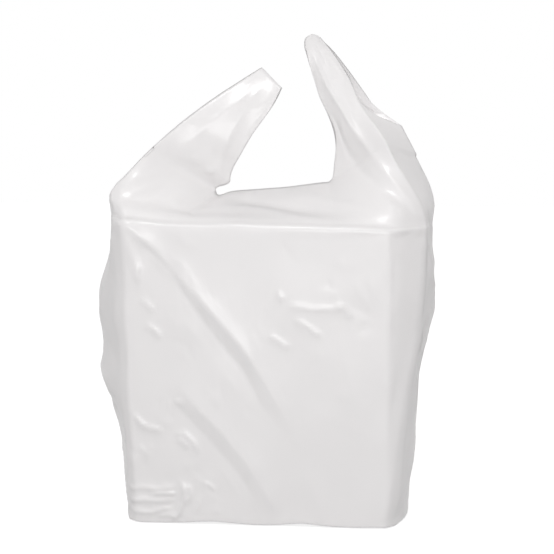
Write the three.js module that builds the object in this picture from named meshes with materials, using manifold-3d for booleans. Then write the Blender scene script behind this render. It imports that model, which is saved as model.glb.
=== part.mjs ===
// Vest carrier bag of thin plastic film, standing filled out with both handles drawn up.
// Millimetres, +Z up. The origin is the centre of the flat base, and the front panel faces -Y.
// The whole bag is one welded tube of film, so it is one shell: a mid surface is lofted through
// named guide points and then given its wall.

import * as THREE from 'three';
import Module from 'manifold-3d';
import { mergeVertices } from 'three/addons/utils/BufferGeometryUtils.js';

// Wall of the shell, far thicker than real film
const filmWall = 0.6;

// Filled body: a boxy shape, with the side gussets swelling past its corners
const bodyWidth = 284;
const bodyDepth = 146;
const bodyHeight = 312;
const cornerRound = 9;
const cornerSharpness = 22;
const panelBow = 3;
const topLean = 3;

// Rings of the body. The bottom and top edges are rounded: [distance from the edge, inset].
// The rings between them are at shares of the height.
const bottomRound = [[0, 5], [2, 1.5], [6, 0]];
const topRound = [[3, 0.6], [0, 3]];
const ringShares = [0.13, 0.26, 0.355, 0.475, 0.6, 0.745, 0.9, 0.97];

// The base is drawn together to its weld line, which is this share of the body's width
const weldShare = 0.52;
const baseRings = 3;

// How far the front panel's folds and the gussets' centres stand out past half the body's
// width, as [share of the body's height, distance]
const leftFoldReach = [[0, -4], [0.13, -2], [0.26, 0], [0.385, 6], [1, 8]];
const rightFoldReach = [[0, 9], [1, 9]];
const leftSwell = [
  [0, 0], [0.13, 1], [0.26, 6], [0.355, 21], [0.475, 34], [0.6, 31], [0.745, 33], [0.9, 19], [1, 18],
];
const rightSwell = [
  [0, 10], [0.13, 13], [0.26, 17], [0.355, 17], [0.475, 20], [0.6, 27], [0.745, 33], [0.9, 29], [1, 30],
];
const gussetCrease = 0.35;
const gussetBow = 3;

// Fold lines, from the body's top corners to the handle seals. Guide points below are
// [share of the way, across, back, up], measured from the straight line between the two ends.
const mouthShare = 0.39;
const gussetCutShare = 0.585;
const foldHalfGap = 0.7;

// Above its cut each half of the gusset swings over to lie behind its strip, in this share of
// the leg, with its cut edge inset by a share of the strip and clear of it by a gap
const cutBlend = 0.5;
const cutInset = 0.05;
const cutGap = 5;

// Flat bag: the share of the front panel that lies outside the mouth on each side
const stripShare = 0.25;
const stripSteps = [0, 0.05, 0.2, 0.44, 0.72, 1];
const mouthColumns = 6;
const gussetSteps = [0, 0.05, 0.36, 0.68, 1];

// The film sags between the body's top edge and the mouth
const valleyDepth = 12;
const upperRows = 5;

// Welded seal at the top of each handle, with its four layers of film
const sealHeight = 6;
const sealThickness = 4.8;
const sealOverhang = 0.8;
const layerPitch = 1.2;
const sealCorner = 1;
const joinedRows = 3;
const legRows = 6;

// Each side's shape. Points are [across from the centre, back, up from the body's height],
// and gusset points are [inward from where the gusset meets the top ring, back, up].
const leftSide = {
  out: -1,
  swell: leftSwell,
  sealOuter: [-4, 4, 151],
  sealInner: [16, -8, 131],
  mouthFront: [-50, -8, 25],
  mouthBack: [-64, 34, 8],
  gussetRise: [[-2, 0, 23], [17, 0, 36], [56, 0, 50], [112, 0, 56]],
  frontFold: [[0.22, -1, 5, 26], [0.56, 0, 5, 20], [0.78, 0, 2, 11]],
  backFold: [[0.22, -1, -7, 24], [0.56, 0, -5, 18], [0.78, 0, 2, 10]],
  frontInner: [[0.12, 7, 0, 0], [0.25, 3, -8, 0], [0.5, 1, -7, 0], [0.78, 3, -4, 0]],
  backInner: [[0.25, -8, 3, 0], [0.5, -4, 6, 0], [0.78, 0, 9, 0]],
  ridge: 3,
};
const rightSide = {
  out: 1,
  swell: rightSwell,
  sealOuter: [55, 4, 185],
  sealInner: [41, -10, 175],
  mouthFront: [66, -4, 34],
  mouthBack: [66, 30, 18],
  gussetRise: [[-4, 0, 18], [10, 3, 56], [31, 0, 97]],
  frontFold: [[0.23, 15, 7, 0], [0.46, 15, 12, 0], [0.77, 8, 3, 0]],
  backFold: [[0.21, 20, -12, 0], [0.53, 23, -16, 0], [0.86, 11, -3, 0]],
  frontInner: [[0.14, 8, -4, 0], [0.35, 14, -7, 0], [0.64, 5, -4, 0]],
  backInner: [[0.22, 12, 0, 0], [0.42, 16, 4, 0], [0.67, 8, 9, 0]],
  ridge: 5,
};

// Middle of the mouth's front and back edges
const mouthMiddle = { front: [[-28, 0, 26], [20, 2, 30]], back: [[-28, 38, 8], [20, 40, 10]] };

const filmColour = 0xe9e6e6;

const vector = ([x, y, z]) => new THREE.Vector3(x, y, z);
const aboveBody = ([x, y, z]) => new THREE.Vector3(x, y, z + bodyHeight);
const smoothCurve = (points) => new THREE.CatmullRomCurve3(points, false, 'centripetal');

// A curve between two points that bulges away from the straight line by the guide offsets
function bowedCurve(start, end, offsets) {
  const middle = offsets.map(([share, ...shift]) => start.clone().lerp(end, share).add(vector(shift)));
  return smoothCurve([start, ...middle, end]);
}

// Value at a height of the body, from a list of [share, value], eased between its entries
function valueAt(list, height) {
  const share = Math.min(1, height / bodyHeight);
  const next = Math.max(1, list.findIndex(([entry]) => entry >= share));
  const [lowShare, lowValue] = list[next - 1];
  const [highShare, highValue] = list[next];
  const part = THREE.MathUtils.smoothstep(share, lowShare, highShare);
  return THREE.MathUtils.lerp(lowValue, highValue, part);
}

// The columns of a panel, as shares of its width: a strip, the mouth, and the other strip
function panelColumns() {
  const strip = stripSteps.map((step) => step * stripShare);
  const mouth = [];
  for (let i = 1; i < mouthColumns; i += 1) {
    mouth.push(THREE.MathUtils.lerp(stripShare, 1 - stripShare, i / mouthColumns));
  }
  return [...strip, ...mouth, ...strip.map((share) => 1 - share).reverse()];
}
const columns = panelColumns();

// A point of the front panel of the filled body, with its corners rounded towards the sides
function panelPoint(share, height, inset) {
  const across = 2 * share - 1;
  const leftEdge = -(bodyWidth / 2 + valueAt(leftFoldReach, height) - inset);
  const rightEdge = bodyWidth / 2 + valueAt(rightFoldReach, height) - inset;
  const bow = panelBow * (1 - across * across) * Math.sin((Math.PI * height) / bodyHeight);
  const wrap = cornerRound * Math.abs(across) ** cornerSharpness;
  const x = THREE.MathUtils.lerp(leftEdge, rightEdge, share);
  return new THREE.Vector3(x, -(bodyDepth / 2 + bow - inset) + wrap, height);
}

// Half of a gusset, from a fold to its centre. It bulges outward between the two where it is
// full, and is straight where it is folded flat.
function gussetHalf(fold, centre, out, flatness) {
  return gussetSteps.map((step) => {
    const round = Math.sin((Math.PI / 2) * step);
    const lead = THREE.MathUtils.lerp(round, step, gussetCrease + (1 - gussetCrease) * flatness);
    const point = fold.clone().lerp(centre, step);
    point.x += (lead - step) * (centre.x - fold.x);
    point.x += out * gussetBow * (1 - flatness) * Math.sin(Math.PI * step);
    return point;
  });
}

// A gusset from the front fold to the back fold, without the folds themselves
function gussetBetween(frontFold, centre, backFold, out, flatness) {
  const toCentre = gussetHalf(frontFold, centre, out, flatness);
  const toBack = gussetHalf(backFold, centre, out, flatness).reverse();
  return [...toCentre, ...toBack.slice(1)].slice(1, -1);
}

// Leaning of the body's top: the left is a little higher than the right
function lean(point) {
  const rise = -topLean * (point.x / (bodyWidth / 2)) * (point.z / bodyHeight);
  return new THREE.Vector3(point.x, point.y, point.z + rise);
}

// One closed ring of the filled body, anticlockwise from above, from the front's left fold
function bodyRing(height, inset) {
  const front = columns.map((share) => panelPoint(share, height, inset));
  const back = front.map((point) => new THREE.Vector3(point.x, -point.y, point.z));
  const gusset = (side) => {
    const end = side.out > 0 ? front.length - 1 : 0;
    const x = side.out * (bodyWidth / 2 + valueAt(side.swell, height) - inset);
    return gussetBetween(front[end], new THREE.Vector3(x, 0, height), back[end], side.out, 0);
  };
  const ring = [...front, ...gusset(rightSide), ...[...back].reverse(), ...gusset(leftSide).reverse()];
  return ring.map(lean);
}

// Places of the named stations along a ring
const panelCount = columns.length;
const gussetInner = 2 * (gussetSteps.length - 1) - 1;
const ringCount = 2 * panelCount + 2 * gussetInner;
const stripLast = stripSteps.length - 1;
const rightGussetCentre = panelCount + (gussetInner - 1) / 2;
const leftGussetCentre = ringCount - 1 - (gussetInner - 1) / 2;

// The weld at the top of a handle: its middle, and its directions across, up and back
function sealFrame(side, corner) {
  const outer = aboveBody(side.sealOuter);
  const inner = aboveBody(side.sealInner);
  const middle = outer.clone().lerp(inner, 0.5);
  const root = corner.clone().lerp(aboveBody(side.mouthFront), 0.5).setY(middle.y);
  const across = outer.clone().sub(inner).normalize();
  const back = new THREE.Vector3().crossVectors(across, middle.clone().sub(root)).normalize();
  back.multiplyScalar(Math.sign(back.y));
  const up = new THREE.Vector3().crossVectors(back, across).normalize();
  return { outer, inner, middle, across, up, back };
}

// The guide curves of one side, hung on the body's top ring
function sideCurves(side, ring) {
  const isRight = side.out > 0;
  const frontCorner = ring[isRight ? panelCount - 1 : 0];
  const backCorner = ring[isRight ? panelCount + gussetInner : 2 * panelCount + gussetInner - 1];
  const crown = ring[isRight ? rightGussetCentre : leftGussetCentre];
  const seal = sealFrame(side, frontCorner);
  const layer = (point, place) => point.clone().addScaledVector(seal.back, place * layerPitch);
  const rise = side.gussetRise.map(([inward, back, up]) => (
    crown.clone().add(vector([-side.out * inward, back, up]))));
  return {
    side,
    seal,
    centre: smoothCurve([crown, ...rise]),
    frontFold: bowedCurve(frontCorner, layer(seal.outer, -1), side.frontFold),
    backFold: bowedCurve(backCorner, layer(seal.outer, 1), side.backFold),
    frontInner: bowedCurve(aboveBody(side.mouthFront), layer(seal.inner, -1.5), side.frontInner),
    backInner: bowedCurve(aboveBody(side.mouthBack), layer(seal.inner, 1.5), side.backInner),
  };
}

// The centre of the gusset, or above the cut the edge of the half that lies behind a strip
function gussetEnd(guides, share, fold, inner, outward) {
  const centre = guides.centre.getPointAt(Math.min(1, share / gussetCutShare));
  if (share <= gussetCutShare) return centre;
  const along = (share - gussetCutShare) / (1 - gussetCutShare);
  const gap = THREE.MathUtils.lerp(cutGap, layerPitch, along);
  const behind = inner.clone().lerp(fold, cutInset * (1 - along)).addScaledVector(outward, -gap);
  return centre.lerp(behind, THREE.MathUtils.smoothstep(along, 0, cutBlend));
}

// Half of a handle's film at one height, from its inner edge over the fold to the gusset.
// Towards is -1 in front and 1 behind.
function handleHalf(guides, foldCurve, innerCurve, towards, share) {
  const along = (share - mouthShare) / (1 - mouthShare);
  const fold = foldCurve.getPointAt(share);
  const inner = innerCurve.getPointAt(along);
  const across = inner.clone().sub(fold);
  const outward = new THREE.Vector3().crossVectors(across, foldCurve.getTangentAt(share)).normalize();
  outward.multiplyScalar(towards * Math.sign(outward.y));
  const end = gussetEnd(guides, share, fold, inner, outward);
  const closeness = THREE.MathUtils.smoothstep(share, mouthShare, gussetCutShare);
  const gap = foldHalfGap * closeness;
  const nose = across.normalize().add(end.clone().sub(fold).normalize()).normalize();
  const ridge = guides.side.ridge * Math.sin(Math.PI * along);
  const strip = stripSteps.map((step) => {
    const lift = ridge * Math.sin(Math.PI * step) + gap * (1 - step);
    return fold.clone().lerp(inner, step).addScaledVector(outward, lift);
  });
  strip[0] = fold.clone().addScaledVector(nose, -gap);
  const gusset = gussetHalf(fold, end, guides.side.out, 1);
  gusset.forEach((point, i) => point.addScaledVector(outward, -gap * (1 - gussetSteps[i])));
  return [...strip.reverse(), ...gusset.slice(1)];
}

// One side's film above the mouth, from its front inner edge round to its back inner edge
function sideRow(guides, share) {
  const front = handleHalf(guides, guides.frontFold, guides.frontInner, -1, share);
  const back = handleHalf(guides, guides.backFold, guides.backInner, 1, share).reverse();
  return { front, back };
}

// A panel above the body: a four sided patch between the top edge and the mouth's edge
function upperPanel(edge, mouth, leftFold, rightFold, part, share) {
  const low = [edge[0], edge[edge.length - 1]];
  const high = [mouth[0], mouth[mouth.length - 1]];
  return columns.map((across, i) => {
    const rising = edge[i].clone().lerp(mouth[i], part);
    const level = leftFold.getPointAt(share).lerp(rightFold.getPointAt(share), across);
    const left = low[0].clone().lerp(high[0], part);
    const right = low[1].clone().lerp(high[1], part);
    const point = rising.add(level).sub(left.lerp(right, across));
    point.z -= valleyDepth * Math.sin(Math.PI * part) * Math.sin(Math.PI * across) ** 2;
    return point;
  });
}

// The film as points and four cornered faces, wound so that the outside faces out
const film = { points: [], faces: [] };

function addPoints(list) {
  return list.map((point) => film.points.push(point) - 1);
}

function addBand(lower, upper, isClosed) {
  const last = isClosed ? lower.length : lower.length - 1;
  for (let i = 0; i < last; i += 1) {
    const next = (i + 1) % lower.length;
    film.faces.push([lower[i], lower[next], upper[next], upper[i]]);
  }
}

// The flat base, drawn together to the weld line along its middle
function addBase(ring) {
  const weldEnd = (bodyWidth / 2) * weldShare;
  const weld = ring.map((id) => {
    const { x, z } = film.points[id];
    return new THREE.Vector3(THREE.MathUtils.clamp(x * weldShare, -weldEnd, weldEnd), 0, z);
  });
  let outer = ring;
  for (let step = 1; step < baseRings; step += 1) {
    const inner = addPoints(ring.map((id, i) => film.points[id].clone().lerp(weld[i], step / baseRings)));
    addBand(inner, outer, true);
    outer = inner;
  }
  const seam = new Map();
  const seamIds = weld.map((point) => {
    const key = point.x.toFixed(3);
    if (!seam.has(key)) seam.set(key, addPoints([point])[0]);
    return seam.get(key);
  });
  addBand(seamIds, outer, true);
}

// The body from its flat base to its top edge
function addBody() {
  const rows = [
    ...bottomRound.map(([up, inset]) => [Math.max(up, filmWall / 2), inset]),
    ...ringShares.map((share) => [share * bodyHeight, 0]),
    ...topRound.map(([down, inset]) => [bodyHeight - down, inset]),
  ];
  let ring = bodyRing(...rows[0]).map((point) => point.setZ(filmWall / 2));
  let lower = addPoints(ring);
  addBase(lower);
  rows.slice(1).forEach((row) => {
    ring = bodyRing(...row);
    const upper = addPoints(ring);
    addBand(lower, upper, true);
    lower = upper;
  });
  return { ring, ids: lower };
}

// The mouth's edge of one panel, with the handle strips' ends beside it
function mouthEdge(leftStrip, rightStrip, middle) {
  const ends = [leftStrip[leftStrip.length - 1], rightStrip[0]];
  const curve = smoothCurve([ends[0], ...middle.map(aboveBody), ends[1]]);
  const between = [];
  for (let i = 1; i < mouthColumns; i += 1) {
    between.push(curve.getPointAt(i / mouthColumns));
  }
  return [...leftStrip, ...between, ...rightStrip];
}

// The film between the body's top edge and the mouth, which closes in over what is inside
function addShoulders(top, left, right) {
  const leftRow = sideRow(left, mouthShare);
  const rightRow = sideRow(right, mouthShare);
  const count = stripSteps.length;
  const strip = (half) => half.slice(0, count);
  const frontMouth = mouthEdge(
    strip(leftRow.front).reverse(), strip(rightRow.front), mouthMiddle.front);
  const backMouth = mouthEdge(
    strip([...leftRow.back].reverse()).reverse(), strip([...rightRow.back].reverse()), mouthMiddle.back);
  const frontEdge = top.ring.slice(0, panelCount);
  const backEdge = top.ring.slice(panelCount + gussetInner, 2 * panelCount + gussetInner).reverse();
  let lower = top.ids;
  for (let row = 1; row <= upperRows; row += 1) {
    const part = row / upperRows;
    const share = part * mouthShare;
    const flatness = THREE.MathUtils.smoothstep(part, 0, 1);
    const front = upperPanel(frontEdge, frontMouth, left.frontFold, right.frontFold, part, share);
    const back = upperPanel(backEdge, backMouth, left.backFold, right.backFold, part, share);
    const gusset = ({ centre, side }, end) => gussetBetween(
      front[end], centre.getPointAt(share / gussetCutShare), back[end], side.out, flatness);
    const rightGusset = gusset(right, panelCount - 1);
    const leftGusset = gusset(left, 0).reverse();
    const upper = addPoints([...front, ...rightGusset, ...back.reverse(), ...leftGusset]);
    addBand(lower, upper, true);
    lower = upper;
  }
  return lower;
}

// The ids of one side's film in the ring at the mouth, from front inner edge to back inner edge
function sideIds(ids, side) {
  const frontEdge = panelCount - 1 - stripLast;
  const backEdge = 2 * panelCount + gussetInner - 1 - stripLast;
  if (side.out > 0) return ids.slice(frontEdge, panelCount + gussetInner + stripLast + 1);
  return [...ids.slice(backEdge), ...ids.slice(0, stripLast + 1)].reverse();
}

// One handle: joined through its gusset at first, then two legs up to the seal
function addHandle(mouthIds, guides) {
  const isRight = guides.side.out > 0;
  const band = (lower, upper) => (isRight ? addBand(lower, upper, false)
    : addBand([...lower].reverse(), [...upper].reverse(), false));
  let lower = sideIds(mouthIds, guides.side);
  for (let row = 1; row <= joinedRows; row += 1) {
    const share = THREE.MathUtils.lerp(mouthShare, gussetCutShare, row / joinedRows);
    const { front, back } = sideRow(guides, share);
    const upper = addPoints([...front, ...back.slice(1)]);
    band(lower, upper);
    lower = upper;
  }
  const half = (lower.length - 1) / 2;
  let legs = [lower.slice(0, half + 1), lower.slice(half)];
  for (let row = 1; row <= legRows; row += 1) {
    const share = THREE.MathUtils.lerp(gussetCutShare, 1, row / legRows);
    const { front, back } = sideRow(guides, share);
    const upper = [addPoints(front), addPoints(back)];
    legs.forEach((leg, i) => band(leg, upper[i]));
    legs = upper;
  }
}

// Normal of the film at each of its points: the mean of the faces that meet there
function filmNormals() {
  const normals = film.points.map(() => new THREE.Vector3());
  film.faces.forEach((face) => {
    const [a, b, c, d] = face.map((id) => film.points[id]);
    const normal = c.clone().sub(a).cross(d.clone().sub(b)).normalize();
    face.forEach((id) => normals[id].add(normal));
  });
  return normals.map((normal) => normal.normalize());
}

// Both skins of the film and the rims between them
function thickenFilm() {
  const normals = filmNormals();
  const count = film.points.length;
  const positions = [];
  [1, -1].forEach((sign) => film.points.forEach((point, i) => {
    positions.push(...point.clone().addScaledVector(normals[i], (sign * filmWall) / 2).toArray());
  }));
  const index = [];
  const edges = new Set();
  const addTriangle = (a, b, c) => {
    if (a === b || b === c || c === a) return;
    index.push(a, b, c, c + count, b + count, a + count);
    [[a, b], [b, c], [c, a]].forEach(([from, to]) => edges.add(`${from},${to}`));
  };
  film.faces.forEach(([a, b, c, d]) => {
    const [pa, pb, pc, pd] = [a, b, c, d].map((id) => film.points[id]);
    if (pa.distanceTo(pc) <= pb.distanceTo(pd)) {
      addTriangle(a, b, c);
      addTriangle(a, c, d);
    } else {
      addTriangle(a, b, d);
      addTriangle(b, c, d);
    }
  });
  edges.forEach((key) => {
    const [from, to] = key.split(',').map(Number);
    if (edges.has(`${to},${from}`)) return;
    index.push(to, from, from + count, to, from + count, to + count);
  });
  const geometry = new THREE.BufferGeometry();
  geometry.setAttribute('position', new THREE.Float32BufferAttribute(positions, 3));
  geometry.setIndex(index);
  return geometry;
}

// The weld across the four layers at the top of a handle
function sealGeometry({ seal }) {
  const width = seal.outer.distanceTo(seal.inner) + 2 * sealOverhang;
  const [w, h] = [width / 2, sealHeight / 2];
  const outline = new THREE.Shape();
  outline.moveTo(-w + sealCorner, -h);
  outline.lineTo(w - sealCorner, -h);
  outline.quadraticCurveTo(w, -h, w, -h + sealCorner);
  outline.lineTo(w, h - sealCorner);
  outline.quadraticCurveTo(w, h, w - sealCorner, h);
  outline.lineTo(-w + sealCorner, h);
  outline.quadraticCurveTo(-w, h, -w, h - sealCorner);
  outline.lineTo(-w, -h + sealCorner);
  outline.quadraticCurveTo(-w, -h, -w + sealCorner, -h);
  const options = { depth: sealThickness, bevelEnabled: false, curveSegments: 3 };
  const geometry = new THREE.ExtrudeGeometry(outline, options);
  geometry.translate(0, 0, -sealThickness / 2);
  const place = new THREE.Matrix4().makeBasis(seal.across, seal.up, seal.back).setPosition(seal.middle);
  return geometry.applyMatrix4(place);
}

// Boolean joining
const wasm = await Module();
wasm.setup();

function toSolid(geometry) {
  geometry.deleteAttribute('normal');
  geometry.deleteAttribute('uv');
  const merged = mergeVertices(geometry);
  return new wasm.Manifold(new wasm.Mesh({
    numProp: 3,
    vertProperties: new Float32Array(merged.attributes.position.array),
    triVerts: new Uint32Array(merged.index.array),
  }));
}

function toGeometry(solid) {
  const { vertProperties, triVerts } = solid.getMesh();
  const geometry = new THREE.BufferGeometry();
  geometry.setAttribute('position', new THREE.Float32BufferAttribute(vertProperties, 3));
  geometry.setIndex(new THREE.Uint32BufferAttribute(triVerts, 1));
  geometry.computeVertexNormals();
  return geometry;
}

function carrierBag() {
  const top = addBody();
  const left = sideCurves(leftSide, top.ring);
  const right = sideCurves(rightSide, top.ring);
  const mouthIds = addShoulders(top, left, right);
  [left, right].forEach((guides) => addHandle(mouthIds, guides));
  const shell = toSolid(thickenFilm());
  return toGeometry(shell.add(toSolid(sealGeometry(left))).add(toSolid(sealGeometry(right))));
}

function filmMaterial() {
  return new THREE.MeshStandardMaterial({
    color: filmColour, roughness: 0.38, metalness: 0, transparent: true, opacity: 0.9,
  });
}

const bag = new THREE.Mesh(carrierBag(), filmMaterial());
bag.name = 'carrier_bag';

const model = new THREE.Group();
model.add(bag);

export default model;
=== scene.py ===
"""A vest carrier bag of thin white film, standing filled out with both handles drawn up.

The film is laid out in millimetres: rings up the body, rings over the shoulders and rows up each
handle. The large folds are laid in it and it is draped over a stand-in for the goods. Then come the
small puckers, the film's thickness, the camera, the lights and the floor.
"""
import math

import bpy
import numpy as np
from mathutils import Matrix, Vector


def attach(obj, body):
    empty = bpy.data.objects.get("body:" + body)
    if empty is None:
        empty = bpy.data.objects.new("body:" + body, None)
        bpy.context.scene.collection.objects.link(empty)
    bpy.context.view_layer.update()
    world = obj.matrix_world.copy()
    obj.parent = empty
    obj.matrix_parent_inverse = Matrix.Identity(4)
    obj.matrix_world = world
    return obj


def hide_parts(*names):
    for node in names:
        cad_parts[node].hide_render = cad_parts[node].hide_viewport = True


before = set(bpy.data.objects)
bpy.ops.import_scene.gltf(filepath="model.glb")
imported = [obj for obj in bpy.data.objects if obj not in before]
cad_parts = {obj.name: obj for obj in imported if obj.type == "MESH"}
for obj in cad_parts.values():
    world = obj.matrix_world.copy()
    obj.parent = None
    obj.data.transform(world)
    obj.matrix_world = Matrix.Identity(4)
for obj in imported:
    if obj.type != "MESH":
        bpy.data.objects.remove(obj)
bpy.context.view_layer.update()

MM = 0.001

# Filled body, as in the frame
BODY_WIDTH = 284.0
BODY_DEPTH = 146.0
BODY_HEIGHT = 312.0
CORNER_SOFTNESS = 0.22
PANEL_BOW = 3.0
TOP_LEAN = 3.0
BOTTOM_RADIUS = 2.5
TOP_RADIUS = 3.5

# Weld in the base: its length as a share of the body's, and the slit that stands for it
WELD_SHARE = 0.52
WELD_GAP = 0.5

# How far the front folds and the gussets' centres stand out past half the width:
# [share of the height, distance]
LEFT_FOLD_REACH = [[0, -6], [0.13, -5], [0.26, -3], [0.385, 0], [0.7, 2], [1, 3]]
RIGHT_FOLD_REACH = [[0, -2], [0.1, 1], [0.3, 5], [0.45, 9], [0.6, 19], [0.75, 23], [1, 26]]
LEFT_SWELL = [[0, 0], [0.13, 1], [0.26, 6], [0.355, 20], [0.46, 34], [0.55, 30], [0.62, 31],
              [0.745, 33], [0.87, 20], [1, 18]]
RIGHT_SWELL = [[0, 10], [0.13, 13], [0.26, 16], [0.355, 17], [0.475, 19], [0.6, 26],
               [0.66, 30], [0.71, 34], [0.76, 30], [0.9, 29], [1, 30]]

# How the panels turn back before their folds: [share of the height, width, depth]
LEFT_TURN = [[0, 9, 7], [1, 9, 8]]
RIGHT_TURN = [[0, 11, 9], [0.25, 15, 12], [0.45, 20, 17], [0.6, 27, 25], [1, 29, 27]]
GUSSET_CREASE = 0.35
GUSSET_BOW = 3.0

# Handles: shares of the way along the fold lines where the mouth and the gussets end
MOUTH_SHARE = 0.39
CUT_SHARE = 0.585
STRIP_SHARE = 0.25
FOLD_HALF_GAP = 0.6
CUT_INSET = 0.05
CUT_GAP = 5.0
LAYER_PITCH = 0.7
VALLEY_DEPTH = 2.0

# Rounding of a handle's tip: the share of the leg where it starts, and how square it stays
CAP_START = 0.82
CAP_POWER = 2.5

# Points are [across, back, up from the body's height]. Gusset points are [inward, back, up]
# from the top ring, and bows of the inner edges are [share of the way, across, back, up].
LEFT = dict(
    out=-1, swell=LEFT_SWELL, ridge=3.0, cap=0.0,
    seal_outer=[-3, 4, 152], seal_inner=[18, -8, 132],
    mouth_front=[-50, -8, 25], mouth_back=[-64, 34, 8],
    gusset_rise=[[-2, 0, 12], [3, 0, 20], [22, 0, 33], [60, 0, 46], [112, 0, 56]],
    front_fold=[[-147, -58, 13], [-153, -51, 23], [-152, -49, 29], [-139, -46, 44], [-118, -39, 67],
                [-101, -33, 82], [-65, -20, 111], [-27, -7, 137]],
    back_fold=[[-144, 56, 12], [-148, 48, 24], [-144, 45, 32], [-130, 41, 44], [-101, 33, 76],
               [-65, 24, 107], [-27, 14, 134]],
    front_start=[[-50.6, -8.2, 28.4], [-47, -9, 30.4], [-40.5, -10, 32.2], [-35, -11, 35.6],
                 [-34.6, -12, 41], [-31.5, -13, 50]],
    front_inner=[[0.36, 2, -8, 0], [0.55, 1, -7, 0], [0.8, 3, -4, 0]],
    back_inner=[[0.25, -8, 3, 0], [0.5, -4, 6, 0], [0.8, 1.5, 7, 0], [0.92, 1.5, 3, 0]],
)
RIGHT = dict(
    out=1, swell=RIGHT_SWELL, ridge=5.0, cap=4.0,
    seal_outer=[54, 4, 186], seal_inner=[40, -10, 176],
    mouth_front=[69.5, -4, 37.5], mouth_back=[66, 30, 18],
    gusset_rise=[[-4, 0, 18], [10, 3, 56], [31, 0, 97]],
    front_fold=[[164, -44, 11], [149, -40, 37], [135, -36, 60], [122, -30, 84], [99, -20, 115],
                [88, -12, 140], [73, -5, 163]],
    back_fold=[[160, 40, 16], [149, 33, 40], [140, 26, 63], [130, 20, 84], [123, 17, 96],
               [105, 14, 122], [84, 10, 151], [71, 8, 167]],
    front_start=[[71, -4.5, 41], [72, -6, 52]],
    front_inner=[[0.35, 14, -7, 0], [0.64, 5, -4, 0]],
    back_inner=[[0.22, 12, 0, 0], [0.42, 16, 4, 0], [0.67, 8, 9, 0]],
)
MOUTH_FRONT = [[-49, -8, 22.3], [-45.5, -8, 21.8], [-38, -6, 24.4], [-28, -3, 26.4],
               [20, 1, 30.5], [60, -2, 34.6], [66.5, -3, 35.4]]
MOUTH_BACK = [[-28, 38, 8], [20, 40, 10]]

# Fineness of the sheet: steps across the front, the back and half a gusset, and up each part
FRONT_STEPS = (33, 80)
BACK_STEPS = (14, 28)
GUSSET_STEPS = 18
FOOT_HEIGHT = 60.0
FOOT_ROWS = 30
BODY_ROWS = 88
SHOULDER_ROWS = 18
JOINED_ROWS = 15
LEG_ROWS = 30
BASE_ROWS = 9
SKIRT_STEPS = 40

# Strip of film past the base's weld, folded flat under the slit
SKIRT_ROWS = 3
SKIRT_WIDTH = 8.0
SKIRT_DROP = 0.4


def up_from_body(point):
    return np.array([point[0], point[1], point[2] + BODY_HEIGHT], float)


def unit(vector):
    return vector / max(np.linalg.norm(vector), 1e-9)


def smooth_step(value, low=0.0, high=1.0):
    part = np.clip((value - low) / (high - low), 0, 1)
    return part * part * (3 - 2 * part)


class Curve:
    """Smooth curve through guide points, read by the share of its length."""

    def __init__(self, guides, steps=40):
        guides = np.array(guides, float)
        ends = np.vstack([2 * guides[0] - guides[1], guides, 2 * guides[-1] - guides[-2]])
        t = np.linspace(0, 1, steps, endpoint=False)[:, None]
        parts = []
        for a, b, c, d in zip(ends, ends[1:], ends[2:], ends[3:]):
            ab, bc, cd = (max(np.linalg.norm(q - p), 1e-6) ** 0.5 for p, q in ((a, b), (b, c), (c, d)))
            leave = ((b - a) / ab - (c - a) / (ab + bc) + (c - b) / bc) * bc
            arrive = ((c - b) / bc - (d - b) / (bc + cd) + (d - c) / cd) * bc
            parts.append(b + leave * t + (3 * (c - b) - 2 * leave - arrive) * t ** 2
                         + (2 * (b - c) + leave + arrive) * t ** 3)
        self.points = np.vstack(parts + [guides[-1:]])
        steps = np.linalg.norm(np.diff(self.points, axis=0), axis=1)
        length = np.concatenate([[0], np.cumsum(steps)])
        self.shares = length / length[-1]

    def at(self, share):
        return np.stack([np.interp(share, self.shares, axis) for axis in self.points.T], axis=-1)

    def tangent(self, share):
        return unit(self.at(min(1, share + 0.004)) - self.at(max(0, share - 0.004)))


def bowed_curve(start, end, bows, first=()):
    """A curve between two points, through exact first points and then bowed off the line."""
    guides = [start, *first]
    guides += [start + (end - start) * share + np.array(shift, float) for share, *shift in bows]
    return Curve([*guides, end])


def value_at(table, share, column=1, softness=0.025):
    """Value from [share, value] rows: straight between them, with the corners rounded."""
    table = np.array(table, float)
    spread = np.linspace(-softness, softness, 9)
    return np.mean(np.interp(np.clip(share + spread, 0, 1), table[:, 0], table[:, column]))


def turned(from_fold, share, table):
    """How deep a panel has turned back, at a distance from its fold."""
    width, depth = value_at(table, share), value_at(table, share, 2)
    part = 1 - from_fold / width
    soft = CORNER_SOFTNESS
    return depth * (part + np.sqrt(part ** 2 + soft ** 2)) / (1 + math.sqrt(1 + soft ** 2))


def panel_columns(strip_steps, mouth_steps):
    strip = np.linspace(0, STRIP_SHARE, strip_steps + 1)
    mouth = np.linspace(STRIP_SHARE, 1 - STRIP_SHARE, mouth_steps + 1)
    return np.concatenate([strip, mouth[1:-1], 1 - strip[::-1]])


FRONT = panel_columns(*FRONT_STEPS)
BACK = panel_columns(*BACK_STEPS)
HALF = np.linspace(0, 1, GUSSET_STEPS + 1)


def panel_row(columns, height, inset, side_inset, towards):
    """A row of the front or back panel of the filled body."""
    share = height / BODY_HEIGHT
    left = -(BODY_WIDTH / 2 + value_at(LEFT_FOLD_REACH, share) - side_inset)
    right = BODY_WIDTH / 2 + value_at(RIGHT_FOLD_REACH, share) - side_inset
    bow = PANEL_BOW * (1 - (2 * columns - 1) ** 2) * math.sin(math.pi * share)
    x = left + (right - left) * columns
    wrap = turned(x - left, share, LEFT_TURN) + turned(right - x, share, RIGHT_TURN)
    depth = BODY_DEPTH / 2 + bow - inset - wrap
    return np.stack([x, towards * depth, np.full(len(columns), height)], axis=-1)


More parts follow.
